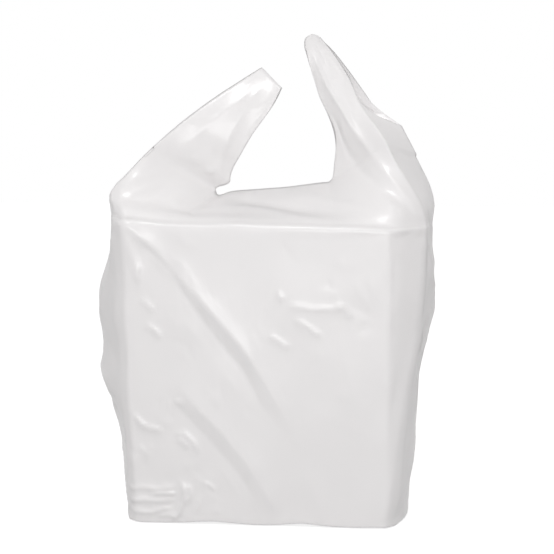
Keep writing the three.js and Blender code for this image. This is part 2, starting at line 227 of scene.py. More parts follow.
def gusset_half(fold, centre, out, flatness):
    """From a fold to the gusset's centre: bulging where it is full, straight where flat."""
    round_part = np.sin(HALF * math.pi / 2)
    crease = GUSSET_CREASE + (1 - GUSSET_CREASE) * flatness
    lead = round_part + (HALF - round_part) * crease
    points = fold + (centre - fold) * HALF[:, None]
    points[:, 0] += (lead - HALF) * (centre[0] - fold[0])
    points[:, 0] += out * GUSSET_BOW * (1 - flatness) * np.sin(math.pi * HALF)
    return points


def gusset_between(front, centre, back, out, flatness):
    first = gusset_half(front, centre, out, flatness)
    second = gusset_half(back, centre, out, flatness)[::-1]
    return np.vstack([first[1:], second[1:-1]])


def lean(points):
    """The body's top slopes down a little to the right."""
    points[:, 2] -= TOP_LEAN * (points[:, 0] / (BODY_WIDTH / 2)) * (points[:, 2] / BODY_HEIGHT)
    return points


def body_ring(height, inset, side_inset):
    front = panel_row(FRONT, height, inset, side_inset, -1)
    back = panel_row(BACK, height, inset, side_inset, 1)
    sides = []
    for side, end in ((RIGHT, -1), (LEFT, 0)):
        reach = BODY_WIDTH / 2 + value_at(side["swell"], height / BODY_HEIGHT) - side_inset
        centre = np.array([side["out"] * reach, 0, height])
        sides.append(gusset_between(front[end], centre, back[end], side["out"], 0))
    return lean(np.vstack([front, sides[0], back[::-1], sides[1][::-1]]))


FRONT_COUNT = len(FRONT)
BACK_COUNT = len(BACK)
GUSSET_INNER = 2 * GUSSET_STEPS - 1
BACK_START = FRONT_COUNT + GUSSET_INNER
LEFT_START = BACK_START + BACK_COUNT


class Guides:
    """The guide curves of one side, hung on the body's top ring."""

    def __init__(self, side, ring):
        is_right = side["out"] > 0
        front_corner = ring[FRONT_COUNT - 1 if is_right else 0]
        back_corner = ring[BACK_START if is_right else LEFT_START - 1]
        middle = (GUSSET_INNER - 1) // 2
        crown = ring[FRONT_COUNT + middle if is_right else LEFT_START + middle]
        outer = up_from_body(side["seal_outer"])
        inner = up_from_body(side["seal_inner"])
        mouth_front = up_from_body(side["mouth_front"])
        mouth_back = up_from_body(side["mouth_back"])
        self.side = side
        seal_middle = (outer + inner) / 2
        root = (front_corner + mouth_front) / 2
        root[1] = seal_middle[1]
        across = unit(outer - inner)
        back = unit(np.cross(across, seal_middle - root))
        back = back * np.sign(back[1])
        self.up = unit(np.cross(back, across)) * -side["out"]
        layer = back * LAYER_PITCH
        rise = [crown + np.array([-side["out"] * inward, y, z]) for inward, y, z in side["gusset_rise"]]
        self.centre = Curve([crown, *rise])
        folds = [[up_from_body(p) for p in side[name]] for name in ("front_fold", "back_fold")]
        self.front_fold = Curve([front_corner, *folds[0], outer - layer])
        self.back_fold = Curve([back_corner, *folds[1], outer + layer])
        start = [up_from_body(p) for p in side["front_start"]]
        self.front_inner = bowed_curve(mouth_front, inner - 1.5 * layer, side["front_inner"], start)
        self.back_inner = bowed_curve(mouth_back, inner + 1.5 * layer, side["back_inner"])


def gusset_end(guides, share, fold, inner, outward):
    """The gusset's centre, or above the cut the edge of the half behind a strip."""
    centre = guides.centre.at(min(1, share / CUT_SHARE))
    if share <= CUT_SHARE:
        return centre
    along = (share - CUT_SHARE) / (1 - CUT_SHARE)
    gap = CUT_GAP + (LAYER_PITCH - CUT_GAP) * along
    behind = inner + (fold - inner) * CUT_INSET * (1 - along) - outward * gap
    return centre + (behind - centre) * smooth_step(along, 0, 0.5)


def handle_half(guides, fold_curve, inner_curve, strip_steps, towards, share):
    """Half of a handle at one height, from its inner edge over the fold to the gusset."""
    along = (share - MOUTH_SHARE) / (1 - MOUTH_SHARE)
    fold = fold_curve.at(share)
    inner = inner_curve.at(along)
    across = inner - fold
    outward = unit(np.cross(across, fold_curve.tangent(share)))
    outward = outward * towards * np.sign(outward[1])
    end = gusset_end(guides, share, fold, inner, outward)
    gap = FOLD_HALF_GAP * smooth_step(share, MOUTH_SHARE, CUT_SHARE)
    nose = unit(unit(across) + unit(end - fold))
    steps = np.linspace(0, 1, strip_steps + 1)
    ridge = guides.side["ridge"] * math.sin(math.pi * along)
    lift = ridge * np.sin(math.pi * steps) + gap * (1 - steps)
    strip = fold + across * steps[:, None] + outward * lift[:, None]
    strip[0] = fold - nose * gap
    gusset = gusset_half(fold, end, guides.side["out"], 1)
    gusset -= outward * (gap * (1 - HALF))[:, None]
    half = np.vstack([strip[::-1], gusset[1:]])
    from_middle = np.abs(2 * np.concatenate([steps[::-1], HALF[1:]]) - 1)
    rounding = guides.side["cap"] * (1 - 2 * from_middle ** CAP_POWER) * smooth_step(along, CAP_START, 1)
    return half + guides.up * rounding[:, None]


def side_row(guides, share):
    front = handle_half(guides, guides.front_fold, guides.front_inner, FRONT_STEPS[0], -1, share)
    back = handle_half(guides, guides.back_fold, guides.back_inner, BACK_STEPS[0], 1, share)
    return front, back[::-1]


def upper_panel(columns, edge, mouth, left_fold, right_fold, part):
    """A row of the four sided patch between the body's top edge and the mouth's edge."""
    share = part * MOUTH_SHARE
    across = columns[:, None]
    rising = edge + (mouth - edge) * part
    level = left_fold.at(share) * (1 - across) + right_fold.at(share) * across
    left = edge[0] + (mouth[0] - edge[0]) * part
    right = edge[-1] + (mouth[-1] - edge[-1]) * part
    points = rising + level - (left * (1 - across) + right * across)
    points[:, 2] -= VALLEY_DEPTH * math.sin(math.pi * part) * np.sin(math.pi * columns) ** 2
    return points


def mouth_row(left_strip, right_strip, middle, steps):
    curve = Curve([left_strip[-1], *[up_from_body(p) for p in middle], right_strip[0]])
    between = curve.at(np.linspace(0, 1, steps + 1)[1:-1])
    return np.vstack([left_strip, between, right_strip])


# Where a point lies on the flat sheet: its part of the bag, its distance across that part from
# the middle (front and back) or from the front fold (gussets), and its distance up the film
IS_FRONT, IS_RIGHT, IS_BACK, IS_LEFT, IS_BASE = range(5)
PANEL_SPAN = 290.0
GUSSET_SPAN = 76.0
SHOULDER_SPAN = 72.0
HANDLE_SPAN = 140.0
MOUTH_UP = BODY_HEIGHT + SHOULDER_SPAN
TIP_UP = MOUTH_UP + HANDLE_SPAN


def ring_places():
    """Part and distance across for each point of a closed ring."""
    front = (FRONT - 0.5) * PANEL_SPAN
    back = ((BACK - 0.5) * PANEL_SPAN)[::-1]
    gusset = np.concatenate([HALF[1:], 2 - HALF[-2:0:-1]]) * GUSSET_SPAN
    parts = [(IS_FRONT, front), (IS_RIGHT, gusset), (IS_BACK, back), (IS_LEFT, gusset[::-1])]
    return (np.concatenate([np.full(len(across), part) for part, across in parts]),
            np.concatenate([across for _, across in parts]))


def leg_places(out):
    """Part and distance across for each point of a handle's front and back legs."""
    rows = []
    for part, steps in ((IS_FRONT, FRONT_STEPS[0]), (IS_BACK, BACK_STEPS[0])):
        share = np.linspace(0, STRIP_SHARE, steps + 1)[::-1]
        across = out * (0.5 - share) * PANEL_SPAN
        from_fold = HALF[1:] * GUSSET_SPAN
        gusset = from_fold if part == IS_FRONT else 2 * GUSSET_SPAN - from_fold
        side = IS_RIGHT if out > 0 else IS_LEFT
        rows.append((np.concatenate([np.full(len(across), part), np.full(len(gusset), side)]),
                     np.concatenate([across, gusset])))
    (front_part, front_across), (back_part, back_across) = rows
    return (front_part, front_across), (back_part[::-1], back_across[::-1])


class Film:
    """The film's points and four cornered faces, wound so that the outside faces out."""

    def __init__(self):
        self.points = []
        self.faces = []
        self.seals = []
        self.leg_rows = []
        self.part = []
        self.across = []
        self.up = []

    def add(self, rows, places, up):
        start = len(self.points)
        self.points.extend(rows)
        self.part.extend(places[0])
        self.across.extend(places[1])
        self.up.extend(np.full(len(rows), float(up)))
        return list(range(start, start + len(rows)))

    def band(self, lower, upper, closed):
        count = len(lower) if closed else len(lower) - 1
        for i in range(count):
            j = (i + 1) % len(lower)
            self.faces.append((lower[i], lower[j], upper[j], upper[i]))


def rounded_rows(radius, steps):
    """[distance from the edge, inset] pairs round a quarter circle."""
    angles = np.linspace(0, math.pi / 2, steps + 1)
    return [(radius * (1 - math.cos(a)), radius * (1 - math.sin(a))) for a in angles]


def lay_base(film, ring):
    """The base, drawn together to the weld along its middle, and the strip past the weld."""
    outline = np.array([film.points[i] for i in ring])
    weld = outline * np.array([WELD_SHARE, WELD_GAP / BODY_DEPTH, 1])
    outer = ring
    for step in range(1, BASE_ROWS + 1):
        places = np.full(len(ring), IS_BASE), outline[:, 0]
        inner = film.add(outline + (weld - outline) * step / BASE_ROWS, places, 0)
        film.band(inner, outer, True)
        outer = inner
    line = np.linspace(weld[:, 0].min(), weld[:, 0].max(), SKIRT_STEPS + 1)
    lower = None
    for step in range(SKIRT_ROWS + 1):
        row = np.stack([line, np.full(len(line), SKIRT_WIDTH * step / SKIRT_ROWS - WELD_GAP),
                        np.full(len(line), -SKIRT_DROP)], axis=-1)
        upper = film.add(row, (np.full(len(line), IS_BASE), line), 0)
        if lower:
            film.band(upper, lower, False)
        lower = upper


RING_PLACES = ring_places()


def handle_up(share):
    return MOUTH_UP + (share - MOUTH_SHARE) / (1 - MOUTH_SHARE) * HANDLE_SPAN


def lay_film():
    film = Film()
    body_rows = [(up, inset, inset) for up, inset in rounded_rows(BOTTOM_RADIUS, 4)]
    middle = np.concatenate([np.linspace(BOTTOM_RADIUS, FOOT_HEIGHT, FOOT_ROWS)[1:],
                             np.linspace(FOOT_HEIGHT, BODY_HEIGHT - TOP_RADIUS, BODY_ROWS)[1:-1]])
    body_rows += [(height, 0, 0) for height in middle]
    body_rows += [(BODY_HEIGHT - down, inset, 0) for down, inset in rounded_rows(TOP_RADIUS, 3)[::-1]]
    ring = body_ring(*body_rows[0])
    ring[:, 2] = 0
    lower = film.add(ring, RING_PLACES, 0)
    lay_base(film, lower)
    for row in body_rows[1:]:
        ring = body_ring(*row)
        upper = film.add(ring, RING_PLACES, row[0])
        film.band(lower, upper, True)
        lower = upper

    left, right = Guides(LEFT, ring), Guides(RIGHT, ring)
    left_rows, right_rows = side_row(left, MOUTH_SHARE), side_row(right, MOUTH_SHARE)
    front_strip, back_strip = FRONT_STEPS[0] + 1, BACK_STEPS[0] + 1
    front_mouth = mouth_row(left_rows[0][:front_strip][::-1], right_rows[0][:front_strip],
                            MOUTH_FRONT, FRONT_STEPS[1])
    back_mouth = mouth_row(left_rows[1][-back_strip:], right_rows[1][-back_strip:][::-1],
                           MOUTH_BACK, BACK_STEPS[1])
    front_edge = ring[:FRONT_COUNT].copy()
    back_edge = ring[BACK_START:LEFT_START][::-1].copy()
    for row in range(1, SHOULDER_ROWS + 1):
        part = row / SHOULDER_ROWS
        flatness = smooth_step(part)
        front = upper_panel(FRONT, front_edge, front_mouth, left.front_fold, right.front_fold, part)
        back = upper_panel(BACK, back_edge, back_mouth, left.back_fold, right.back_fold, part)
        sides = []
        for guides, end in ((right, -1), (left, 0)):
            centre = guides.centre.at(part * MOUTH_SHARE / CUT_SHARE)
            sides.append(gusset_between(front[end], centre, back[end], guides.side["out"], flatness))
        ring = np.vstack([front, sides[0], back[::-1], sides[1][::-1]])
        upper = film.add(ring, RING_PLACES, BODY_HEIGHT + part * SHOULDER_SPAN)
        film.band(lower, upper, True)
        lower = upper

    mouth = lower
    right_arc = mouth[FRONT_COUNT - front_strip:BACK_START + back_strip]
    left_arc = (mouth[LEFT_START - back_strip:] + mouth[:front_strip])[::-1]
    for guides, arc in ((right, right_arc), (left, left_arc)):
        flip = 1 if guides.side["out"] > 0 else -1
        front_places, back_places = leg_places(flip)
        joined_places = [np.concatenate([a, b[1:]]) for a, b in zip(front_places, back_places)]
        lower = arc
        for row in range(1, JOINED_ROWS + 1):
            share = MOUTH_SHARE + (CUT_SHARE - MOUTH_SHARE) * row / JOINED_ROWS
            front, back = side_row(guides, share)
            upper = film.add(np.vstack([front, back[1:]]), joined_places, handle_up(share))
            film.band(lower[::flip], upper[::flip], False)
            lower = upper
        half = FRONT_STEPS[0] + GUSSET_STEPS
        legs = [lower[:half + 1], lower[half:]]
        for row in range(1, LEG_ROWS + 1):
            share = CUT_SHARE + (1 - CUT_SHARE) * row / LEG_ROWS
            rows = [film.add(leg, places, handle_up(share))
                    for leg, places in zip(side_row(guides, share), (front_places, back_places))]
            for leg, upper in zip(legs, rows):
                film.band(leg[::flip], upper[::flip], False)
            legs = rows
            film.leg_rows.append((rows[0][:front_strip][::-1], rows[0][front_strip - 1:]))
            film.leg_rows.append((rows[1][-back_strip:], rows[1][:-back_strip + 1][::-1]))
        seal = legs[0][:front_strip] + legs[1][-back_strip:]
        film.seals.append(seal[::flip])
    return film


def film_normals(points, faces):
    a, b, c, d = (points[faces[:, k]] for k in range(4))
    normal = np.cross(c - a, d - b)
    normal /= np.maximum(np.linalg.norm(normal, axis=1, keepdims=True), 1e-9)
    total = np.zeros_like(points)
    for k in range(4):
        np.add.at(total, faces[:, k], normal)
    return total / np.maximum(np.linalg.norm(total, axis=1, keepdims=True), 1e-9)


film = lay_film()
points = np.array(film.points)
faces = np.array(film.faces)
normals = film_normals(points, faces)
part, across, up = np.array(film.part), np.array(film.across), np.array(film.up)
print("film", len(points), "points", len(faces), "faces")


# Folds in the film. A path is [across, up] points on the flat sheet, height is how far its crest
# stands out, and wide is how far it fades on its upper left and lower right. Past so many widths
# nothing of it is left.
FADED_AFTER = 5


def fold_lift(where, path, height, wide=(5, 5), ends=(0.3, 0.3), crest=1.2):
    lift = np.zeros(len(points))
    path = np.array(path, float)
    reach = FADED_AFTER * max(wide)
    low, high = path.min(axis=0) - reach, path.max(axis=0) + reach
    chosen = np.where((part == where) & (across > low[0]) & (across < high[0])
                      & (up > low[1]) & (up < high[1]))[0]
    place = np.stack([across[chosen], up[chosen]], axis=-1)
    nearest = np.full(len(chosen), 1e9)
    side = np.zeros(len(chosen))
    along = np.zeros(len(chosen))
    lengths = np.linalg.norm(np.diff(path, axis=0), axis=1)
    gone = np.concatenate([[0], np.cumsum(lengths)])
    for start, end, length, before in zip(path, path[1:], lengths, gone):
        way = (end - start) / length
        t = np.clip((place - start) @ way, 0, length)
        away = place - (start + t[:, None] * way)
        distance = np.linalg.norm(away, axis=1)
        closer = distance < nearest
        nearest[closer] = distance[closer]
        side[closer] = (way[0] * away[:, 1] - way[1] * away[:, 0])[closer]
        along[closer] = ((before + t) / gone[-1])[closer]
    width = np.where(side > 0, wide[0], wide[1])
    shape = np.exp(-(np.sqrt(nearest ** 2 + crest ** 2) - crest) / width)
    start_part = smooth_step(along / ends[0]) if ends[0] > 0 else 1
    end_part = smooth_step((1 - along) / ends[1]) if ends[1] > 0 else 1
    lift[chosen] = height * shape * start_part * end_part
    return lift


# Folds of the front panel: the pull from the top left corner, the line of the top edge and the
# soft right edge
FRONT_FOLDS = [
    dict(path=[[-140, 314], [-106, 281], [-83, 254], [-57, 225], [-18, 179], [21, 121], [60, 60]],
         height=3.4, wide=(10, 5), ends=(0.04, 0.5)),
    dict(path=[[-124, 291], [-93, 259], [-66, 229]], height=0.8, wide=(3, 3), ends=(0.3, 0.4)),
    dict(path=[[-127, 297], [-93, 263], [-70, 225], [-47, 193], [-21, 164], [-3, 132], [30, 90]],
         height=-2.6, wide=(4, 10), ends=(0.1, 0.4)),
    dict(path=[[-140, 312], [-124, 262], [-121, 225]], height=2.4, wide=(7, 9), ends=(0.05, 0.5)),
    dict(path=[[-95, 160], [-70, 128], [-40, 97], [-12, 62], [22, 8]],
         height=3.3, wide=(14, 8), ends=(0.3, 0.15)),
    dict(path=[[-104, 152], [-83, 120], [-52, 88], [-28, 60], [0, 20]],
         height=-2.0, wide=(5, 10), ends=(0.3, 0.2)),
    dict(path=[[-18, 304], [31, 307], [85, 308], [138, 309]],
         height=1.4, wide=(1.8, 2.6), ends=(0.3, 0.1)),
    dict(path=[[-2, 300], [40, 302], [84, 303.5]], height=0.5, wide=(1.8, 2.2), ends=(0.3, 0.3)),
    dict(path=[[-140, 313], [-80, 313], [-24, 312]], height=-1.5, wide=(5, 5), ends=(0.1, 0.4), crest=4),
    dict(path=[[141, 306], [140, 219], [140, 135], [137, 83], [134, 31], [132, 4]],
         height=2.4, wide=(9, 9), ends=(0.05, 0.05)),
    dict(path=[[60, 215], [80, 170], [100, 120], [112, 60]], height=1.4, wide=(9, 12), ends=(0.4, 0.4)),
    dict(path=[[35, 75], [55, 40], [70, 8]], height=1.4, wide=(8, 9), ends=(0.4, 0.2)),
    dict(path=[[84, 268], [98, 248], [104, 225]], height=0.9, wide=(6, 6), ends=(0.4, 0.4)),
]

# Small sharp puckers of the front, and the gathers at its lower left corner, all deepened alike
PUCKER_DEPTH = 1.6
PUCKER = dict(height=0.8, wide=(1.6, 2.4), crest=0.4)
FRONT_PUCKERS = [
    dict(path=[[6, 243], [10, 241], [15, 235]]),
    dict(path=[[16, 231], [30, 230], [41, 228], [58, 229], [74, 231]], ends=(0.2, 0.1)),
    dict(path=[[62, 234], [72, 230], [80, 218]]),
    dict(path=[[22, 216], [34, 213], [46, 204], [56, 199]]),
    dict(path=[[-2, 200], [8, 197], [16, 191], [26, 187]]),
    dict(path=[[-123, 268], [-124, 260], [-123, 248]]),
    dict(path=[[-124, 233], [-116, 229], [-107, 219]]),
    dict(path=[[-119, 208], [-109, 202], [-100, 192]], height=1.0, wide=(1.6, 2.6)),
    dict(path=[[-135, 118], [-122, 103], [-98, 97]], height=1.4, wide=(1.6, 2.6)),
    dict(path=[[-91, 127], [-85, 129], [-77, 126]]),
    dict(path=[[-94, 95], [-80, 96], [-70, 86], [-64, 72]], height=1.0, wide=(1.6, 2.6)),
    dict(path=[[-90, 89], [-82, 88], [-75, 80]]),
    dict(path=[[-131, 83], [-124, 77], [-115, 69]]),
    dict(path=[[-64, 45], [-56, 43], [-48, 36]]),
    dict(path=[[-143, 36], [-128, 38], [-112, 37], [-88, 40]],
         height=1.0, wide=(2.0, 3.0), ends=(0.05, 0.3)),
    dict(path=[[-122, 30], [-106, 33], [-90, 32]], height=1.3, wide=(1.6, 2.6), ends=(0.4, 0.15)),
    dict(path=[[-143, 23], [-126, 26], [-110, 24], [-90, 27]],
         height=1.3, wide=(2.0, 2.6), ends=(0.05, 0.2)),
    dict(path=[[-142, 14], [-120, 12], [-106, 16], [-93, 17]],
         height=1.2, wide=(1.8, 2.6), ends=(0.05, 0.2)),
    dict(path=[[-114, 8], [-100, 10], [-90, 7]], height=0.9, ends=(0.4, 0.2)),
    dict(path=[[-87, 50], [-83, 38], [-84, 24], [-88, 12], [-96, 2]],
         height=1.8, wide=(2.4, 2.6), ends=(0.3, 0.2)),
    dict(path=[[-79, 45], [-75, 33], [-80, 19]], height=1.0, wide=(1.8, 2.6)),
    dict(path=[[-70, 30], [-66, 22], [-72, 10]], height=0.6, wide=(1.8, 2.6)),
]

# Where the bottom edge of the front stands off the floor: [across, half width, height]
FOOT_WAVES = [[-48, 26, 2.4], [44, 22, 2.8], [120, 14, 0.8]]
FOOT_FADE = 14.0
FOOT_START = 40.0

# Folds of the front of the shoulders and handles
UPPER_FRONT_FOLDS = [
    dict(path=[[-56, 372], [-30, 365], [0, 356], [49, 338], [92, 322]], height=-6.0, wide=(9, 12),
         ends=(0.25, 0.5), crest=3),
    dict(path=[[-60, 352], [-20, 344], [30, 326], [70, 314]], height=2.0, wide=(7, 7), ends=(0.3, 0.3)),
    dict(path=[[10, 376], [50, 360], [90, 338], [112, 322]], height=1.6, wide=(6, 6), ends=(0.3, 0.3)),
    dict(path=[[-98, 356], [-88, 345], [-76, 335]], height=1.0, wide=(3, 3)),
    dict(path=[[-92, 346], [-84, 338]], height=0.8, wide=(2.4, 2.4)),
    dict(path=[[-146, 341], [-132, 357], [-118, 372]], height=1.2, wide=(6, 9), ends=(0.1, 0.4)),
    dict(path=[[-140, 312], [-130, 330], [-122, 345], [-108, 366]],
         height=1.4, wide=(7, 5), ends=(0.05, 0.4)),
    dict(path=[[116, 337], [124, 331], [131, 323]], height=1.5, wide=(2.6, 3)),
    dict(path=[[131, 303], [136, 306], [141, 310]], height=1.2, wide=(2.4, 2.4)),
    dict(path=[[72, 470], [84, 430], [98, 399], [114, 364], [130, 332], [140, 313]],
         height=-1.6, wide=(5, 6), ends=(0.3, 0.1)),
    dict(path=[[90, 515], [98, 470], [112, 430], [124, 393], [134, 350], [141, 316]],
         height=2.6, wide=(7, 7), ends=(0.1, 0.1)),
    dict(path=[[73, 500], [75, 487], [73, 474]], height=-0.9, wide=(2.2, 2.2)),
    dict(path=[[-116, 404], [-109, 401], [-103, 398]], height=1.0, wide=(2.4, 2.4)),
    dict(path=[[-97, 406], [-92, 402], [-90, 397]], height=1.2, wide=(2.4, 2.6)),
    dict(path=[[-78, 392], [-95, 440], [-105, 490]], height=0.9, wide=(6, 6), ends=(0.3, 0.3)),
    dict(path=[[-128, 390], [-124, 440], [-118, 500]], height=0.8, wide=(5, 5), ends=(0.2, 0.2)),
    dict(path=[[-90, 480], [-88, 505], [-94, 520]], height=0.5, wide=(3, 3)),
]

# Folds of the side gussets, across from the front fold (0) to the back fold (152)
RIGHT_FOLDS = [
    dict(path=[[4, 224], [10, 184], [24, 141], [34, 96]], height=2.6, wide=(5, 5), ends=(0.15, 0.3)),
    dict(path=[[16, 216], [15, 180], [26, 136]], height=-2.0, wide=(4, 4), ends=(0.2, 0.2)),
    dict(path=[[2, 300], [26, 262], [60, 236], [100, 250]], height=2.4, wide=(8, 6), ends=(0.1, 0.3)),
    dict(path=[[12, 330], [34, 300], [70, 280]], height=-2.0, wide=(6, 7), ends=(0.2, 0.4)),
    dict(path=[[150, 308], [120, 250], [92, 180], [82, 110]], height=2.6, wide=(7, 9), ends=(0.1, 0.4)),
    dict(path=[[76, 330], [74, 240], [77, 150], [76, 4]], height=1.4, wide=(3, 3), ends=(0.1, 0.05)),
    dict(path=[[4, 10], [30, 44], [60, 84], [74, 120]], height=1.8, wide=(6, 6), ends=(0.1, 0.4)),
    dict(path=[[148, 10], [124, 46], [96, 84], [80, 118]], height=1.8, wide=(6, 6), ends=(0.1, 0.4)),
    dict(path=[[46, 190], [52, 130], [44, 60]], height=-1.8, wide=(9, 9), ends=(0.3, 0.3)),
    dict(path=[[118, 170], [112, 110], [120, 50]], height=-1.8, wide=(9, 9), ends=(0.3, 0.3)),
]
LEFT_FOLDS = [
    dict(path=[[4, 300], [24, 250], [52, 205], [76, 180]], height=2.6, wide=(7, 7), ends=(0.1, 0.4)),
    dict(path=[[148, 304], [124, 262], [98, 214], [78, 176]], height=2.6, wide=(7, 7), ends=(0.1, 0.4)),
    dict(path=[[76, 330], [78, 240], [75, 160], [76, 4]], height=1.5, wide=(3, 3), ends=(0.1, 0.05)),
    dict(path=[[4, 120], [34, 140], [70, 150], [110, 140], [146, 116]],
         height=2.0, wide=(6, 7), ends=(0.2, 0.2)),
    dict(path=[[10, 96], [40, 116], [76, 126], [112, 116]], height=-1.8, wide=(6, 6), ends=(0.2, 0.2)),
    dict(path=[[4, 8], [28, 40], [58, 78], [72, 108]], height=1.8, wide=(6, 6), ends=(0.1, 0.4)),
    dict(path=[[148, 8], [124, 42], [98, 80], [82, 108]], height=1.8, wide=(6, 6), ends=(0.1, 0.4)),
    dict(path=[[14, 330], [40, 318], [74, 322]], height=-1.6, wide=(6, 6), ends=(0.2, 0.3)),
]

# Folds of the back panel, as seen from the front
BACK_FOLDS = [
    dict(path=[[141, 313], [112, 276], [78, 236], [36, 190], [-10, 134], [-44, 70]],
         height=4.6, wide=(8, 13), ends=(0.04, 0.5)),
    dict(path=[[-141, 313], [-118, 268], [-100, 214], [-88, 150]],
         height=3.6, wide=(8, 7), ends=(0.04, 0.5)),
    dict(path=[[128, 290], [96, 250], [66, 208], [30, 160]], height=-2.8, wide=(7, 6), ends=(0.2, 0.4)),
    dict(path=[[132, 306], [60, 308], [-40, 307], [-136, 308]],
         height=1.2, wide=(2.6, 2.6), ends=(0.1, 0.1)),
    dict(path=[[-90, 168], [-60, 120], [-30, 70], [-8, 10]], height=3.4, wide=(9, 8), ends=(0.3, 0.2)),
    dict(path=[[60, 120], [78, 70], [90, 10]], height=3.0, wide=(8, 7), ends=(0.3, 0.2)),
    dict(path=[[40, 364], [0, 350], [-44, 332], [-90, 316]], height=-4.0, wide=(7, 7), ends=(0.2, 0.2)),
    dict(path=[[-140, 312], [-128, 336], [-112, 366], [-98, 400]],
         height=1.8, wide=(6, 6), ends=(0.05, 0.3)),
    dict(path=[[140, 312], [130, 338], [116, 372], [104, 410]], height=1.8, wide=(6, 6), ends=(0.05, 0.3)),
    dict(path=[[-120, 400], [-116, 450], [-110, 500]], height=0.9, wide=(6, 6), ends=(0.3, 0.2)),
    dict(path=[[112, 400], [104, 450], [94, 500]], height=1.2, wide=(6, 6), ends=(0.3, 0.2)),
]

# Small crinkles, scattered: where, how many, [lowest, highest] place, then the slant in degrees as
# (mean, spread) and the least and most length and height
CRINKLES = [
    (IS_FRONT, 46, [[-138, 6], [138, 306]], (-52, 16), (14, 60), (0.15, 0.5)),
    (IS_FRONT, 26, [[-140, 6], [-40, 130]], (-30, 26), (8, 26), (0.25, 0.7)),
    (IS_FRONT, 16, [[-120, 316], [130, 372]], (-20, 30), (10, 34), (0.2, 0.6)),
    (IS_FRONT, 18, [[-140, 390], [-78, 515]], (88, 14), (16, 50), (0.15, 0.4)),
    (IS_FRONT, 18, [[78, 390], [140, 515]], (92, 14), (16, 50), (0.2, 0.6)),
    (IS_RIGHT, 44, [[6, 6], [146, 330]], (78, 26), (14, 70), (0.3, 1.1)),
    (IS_LEFT, 44, [[6, 6], [146, 330]], (78, 26), (14, 70), (0.3, 1.1)),
    (IS_BACK, 70, [[-138, 6], [138, 306]], (52, 24), (14, 70), (0.4, 1.5)),
    (IS_BACK, 16, [[-120, 316], [120, 372]], (10, 30), (10, 34), (0.2, 0.6)),
    (IS_BACK, 14, [[-140, 390], [-78, 515]], (90, 14), (16, 50), (0.2, 0.5)),
    (IS_BACK, 14, [[78, 390], [140, 515]], (90, 14), (16, 50), (0.2, 0.5)),
]
CRINKLE_WIDTH = (2.2, 5)
CRINKLE_BEND = 0.12


def crinkle_lift(rng):
    lift = np.zeros(len(points))
    for where, count, box, slant, lengths, heights in CRINKLES:
        for _ in range(count):
            middle = rng.uniform(*np.array(box, float))
            angle = math.radians(rng.normal(*slant))
            length = rng.uniform(*lengths)
            bend = rng.normal(0, CRINKLE_BEND) * length
            way = np.array([math.cos(angle), math.sin(angle)]) * length / 2
            off = np.array([-way[1], way[0]]) / length * 2 * bend
            path = [middle - way, middle + off, middle + way]
            height = rng.uniform(*heights) * rng.choice([1, 1, -1])
            wide = rng.uniform(*CRINKLE_WIDTH, 2)
            lift += fold_lift(where, path, height, wide, (0.45, 0.45))
    return lift


def soft_noise(rng, sizes, count=28):
    """Smooth noise over the bag, about -1 to 1, with waves of about these sizes."""
    total = np.zeros(len(points))
    for _ in range(count):
        wave = rng.normal(0, 1, 3)
        wave *= 2 * math.pi / rng.uniform(*sizes) / np.linalg.norm(wave)
        total += np.cos(points @ wave + rng.uniform(0, 2 * math.pi))
    return total / math.sqrt(count)


def foot_lift():
    """The front's bottom edge stands a little off the floor in a few places."""
    in_front = np.exp(-up / FOOT_FADE) * (part == IS_FRONT)
    in_base = (part == IS_BASE) * smooth_step(-points[:, 1], FOOT_START, BODY_DEPTH / 2)
    x = points[:, 0]
    waves = sum(height * np.exp(-((x - middle) / wide) ** 2) for middle, wide, height in FOOT_WAVES)
    return (in_front + in_base) * waves


# Heights between which the gusset in a handle's legs takes up the lift of its strip
LEG_LIFT_START = (425, 445)

# Heights between which the folds calm down towards a handle's weld
TIP_CALM = (TIP_UP - 29, TIP_UP - 2)


def with_legs(lift):
    """Inside a handle's legs the gusset keeps its distance from the strip in front of it."""
    lift = lift * (1 - 0.9 * smooth_step(up, *TIP_CALM))
    lift[((part == IS_RIGHT) | (part == IS_LEFT)) & (up > MOUTH_UP)] = 0
    for strip, behind in film.leg_rows:
        strip_lift = np.interp(HALF, np.linspace(0, 1, len(strip)), lift[strip])
        lift[behind[1:]] = -strip_lift[1:] * smooth_step(up[behind[0]], *LEG_LIFT_START)
    return lift


# How far the film wanders in soft waves, in millimetres, and how long the waves are
LOOSE_FRONT, LOOSE_BACK, LOOSE_SIDE = 0.5, 0.9, 1.3
WAVE_SIZES = (45, 110)
CALM_LEGS_UP = MOUTH_UP + 46

rng = np.random.default_rng(7)
lift = np.zeros(len(points))
for where, folds in ((IS_FRONT, FRONT_FOLDS + UPPER_FRONT_FOLDS), (IS_RIGHT, RIGHT_FOLDS),
                     (IS_LEFT, LEFT_FOLDS), (IS_BACK, BACK_FOLDS)):
    for fold in folds:
        lift += fold_lift(where, **fold)
on_part = [part == IS_FRONT, part == IS_BACK, part == IS_BASE]
looseness = np.select(on_part, [LOOSE_FRONT, LOOSE_BACK, 0.0], LOOSE_SIDE)
looseness = looseness * smooth_step(up, 0, 30) * (1 - 0.8 * smooth_step(up, MOUTH_UP, CALM_LEGS_UP))
lift += looseness * soft_noise(rng, WAVE_SIZES)
points[:, 2] += foot_lift()
points = points + normals * with_legs(lift)[:, None]

fine_lift = crinkle_lift(rng)
for pucker in FRONT_PUCKERS:
    fine_lift += PUCKER_DEPTH * fold_lift(IS_FRONT, **{**PUCKER, **pucker})
fine_lift = with_legs(fine_lift)


